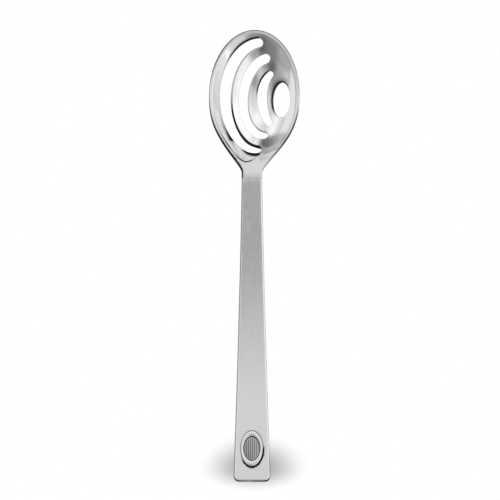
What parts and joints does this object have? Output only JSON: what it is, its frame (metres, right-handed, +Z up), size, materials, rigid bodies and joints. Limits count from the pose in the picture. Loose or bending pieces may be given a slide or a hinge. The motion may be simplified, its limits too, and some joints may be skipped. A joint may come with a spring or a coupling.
{
  "type": "coffee spoon",
  "caption": "Slotted coffee spoon: egg-shaped pressed bowl with crescent slots and an oval hole, flat tapered handle with a square-cut end and an oval medallion.",
  "frame": {"origin": "on the table under the middle of the whole spoon: the centre of the bottom of its box", "axes": "+Y from the handle's end to the bowl's tip, +Z up out of the bowl, +X to the right seen from above with the bowl away from the viewer"},
  "size_m": [0.0278, 0.1394, 0.009],
  "materials": {
    "polished_steel": "polished, faint hairlines",
    "satin_steel": "fine satin, brushed along the handle",
    "bright_ring": "bright, rounded top",
    "dark_plaque": "darkened in the flutes, rubbed bright on the ridges"
  },
  "bodies": {
    "root": {"bowl": "polished_steel", "handle": "satin_steel", "medallion_bezel": "bright_ring", "medallion_plaque": "dark_plaque"}
  },
  "joints": []
}
